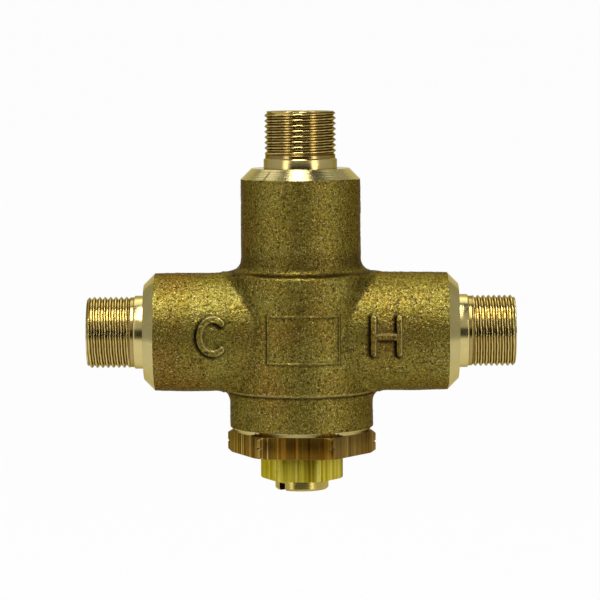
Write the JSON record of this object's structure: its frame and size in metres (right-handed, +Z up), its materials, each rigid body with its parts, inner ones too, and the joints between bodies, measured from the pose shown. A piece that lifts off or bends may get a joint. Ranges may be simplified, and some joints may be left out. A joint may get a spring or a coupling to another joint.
{
  "type": "thermostatic mixing valve",
  "caption": "Cast bronze tee valve that blends hot and cold water to a set warmth with a wax element, a sliding shuttle, checked inlets and a slotted adjusting spindle under a lock nut.",
  "frame": {"origin": "middle of the outlet's end face", "axes": "+Z up along the cartridge axis and out of the outlet, +X towards the hot inlet, -Y towards the front"},
  "size_m": [0.084, 0.0286, 0.0744],
  "materials": {
    "cast_bronze": "sand-cast, lightly bead-blasted, machined at the ports",
    "bonnet_bronze": "drawn hexagon bar, tarnished brown",
    "nut_brass": "drawn hexagon bar, turned faces",
    "spindle_brass": "turned",
    "turned_brass": "turned",
    "element_copper": "drawn cup",
    "spring_steel": "drawn wire or sheet",
    "seal_rubber": "moulded",
    "shuttle_plastic": "moulded, glass filled",
    "check_plastic": "moulded",
    "element_wax": "copper-filled wax"
  },
  "bodies": {
    "root": {"valve_body": "cast_bronze", "bonnet": "bonnet_bronze", "bonnet_o_ring": "seal_rubber", "return_spring": "spring_steel", "cold_check_housing": "check_plastic", "cold_check_o_ring": "seal_rubber", "cold_check_spring": "spring_steel", "cold_inlet_screen": "spring_steel", "hot_check_housing": "check_plastic", "hot_check_o_ring": "seal_rubber", "hot_check_spring": "spring_steel", "hot_inlet_screen": "spring_steel"},
    "overtravel_carrier": {"overtravel_spring": "spring_steel"},
    "spindle": {"adjusting_spindle": "spindle_brass", "spindle_o_ring": "seal_rubber", "spindle_snap_ring": "spring_steel"},
    "plunger": {"overtravel_plunger": "turned_brass", "piston_pin": "spring_steel"},
    "shuttle_and_element": {"shuttle": "shuttle_plastic", "shuttle_o_ring": "seal_rubber", "element_cup": "element_copper", "element_guide": "turned_brass", "element_boot": "seal_rubber", "wax_charge": "element_wax"},
    "lock_nut": {"lock_nut": "nut_brass"},
    "cold_poppet": {"cold_check_poppet": "check_plastic", "cold_poppet_seal": "seal_rubber"},
    "hot_poppet": {"hot_check_poppet": "check_plastic", "hot_poppet_seal": "seal_rubber"}
  },
  "joints": [
    {"name": "spindle_travel", "type": "slide", "parent": "root", "child": "overtravel_carrier", "axis": [0, 0, 1], "range_m": [-0.0015, 0.0015]},
    {"name": "spindle_turn", "type": "hinge", "parent": "overtravel_carrier", "child": "spindle", "pos_m": [0, 0, -0.0713], "axis": [0, 0, 1], "range_deg": [-540, 540]},
    {"name": "overtravel", "type": "slide", "parent": "overtravel_carrier", "child": "plunger", "axis": [0, 0, -1], "range_m": [0, 0.0015], "stiffness_N_per_m": 4000, "springref_m": -0.001, "deforming": ["overtravel_spring"]},
    {"name": "shuttle_travel", "type": "slide", "parent": "root", "child": "shuttle_and_element", "axis": [0, 0, 1], "range_m": [-0.0009, 0.0009], "stiffness_N_per_m": 1500, "deforming": ["return_spring"]},
    {"name": "lock_nut_turn", "type": "hinge", "parent": "root", "child": "lock_nut", "pos_m": [0, 0, -0.0703], "axis": [0, 0, 1], "range_deg": [-360, 0]},
    {"name": "cold_check_open", "type": "slide", "parent": "root", "child": "cold_poppet", "axis": [1, 0, 0], "range_m": [0, 0.002], "stiffness_N_per_m": 60, "springref_m": -0.003, "deforming": ["cold_check_spring"]},
    {"name": "hot_check_open", "type": "slide", "parent": "root", "child": "hot_poppet", "axis": [-1, 0, 0], "range_m": [0, 0.002], "stiffness_N_per_m": 60, "springref_m": -0.003, "deforming": ["hot_check_spring"]}
  ],
  "couplings": [
    {"joint": "spindle_travel", "follows": "spindle_turn", "m_per_rad": 0.00015915}
  ]
}
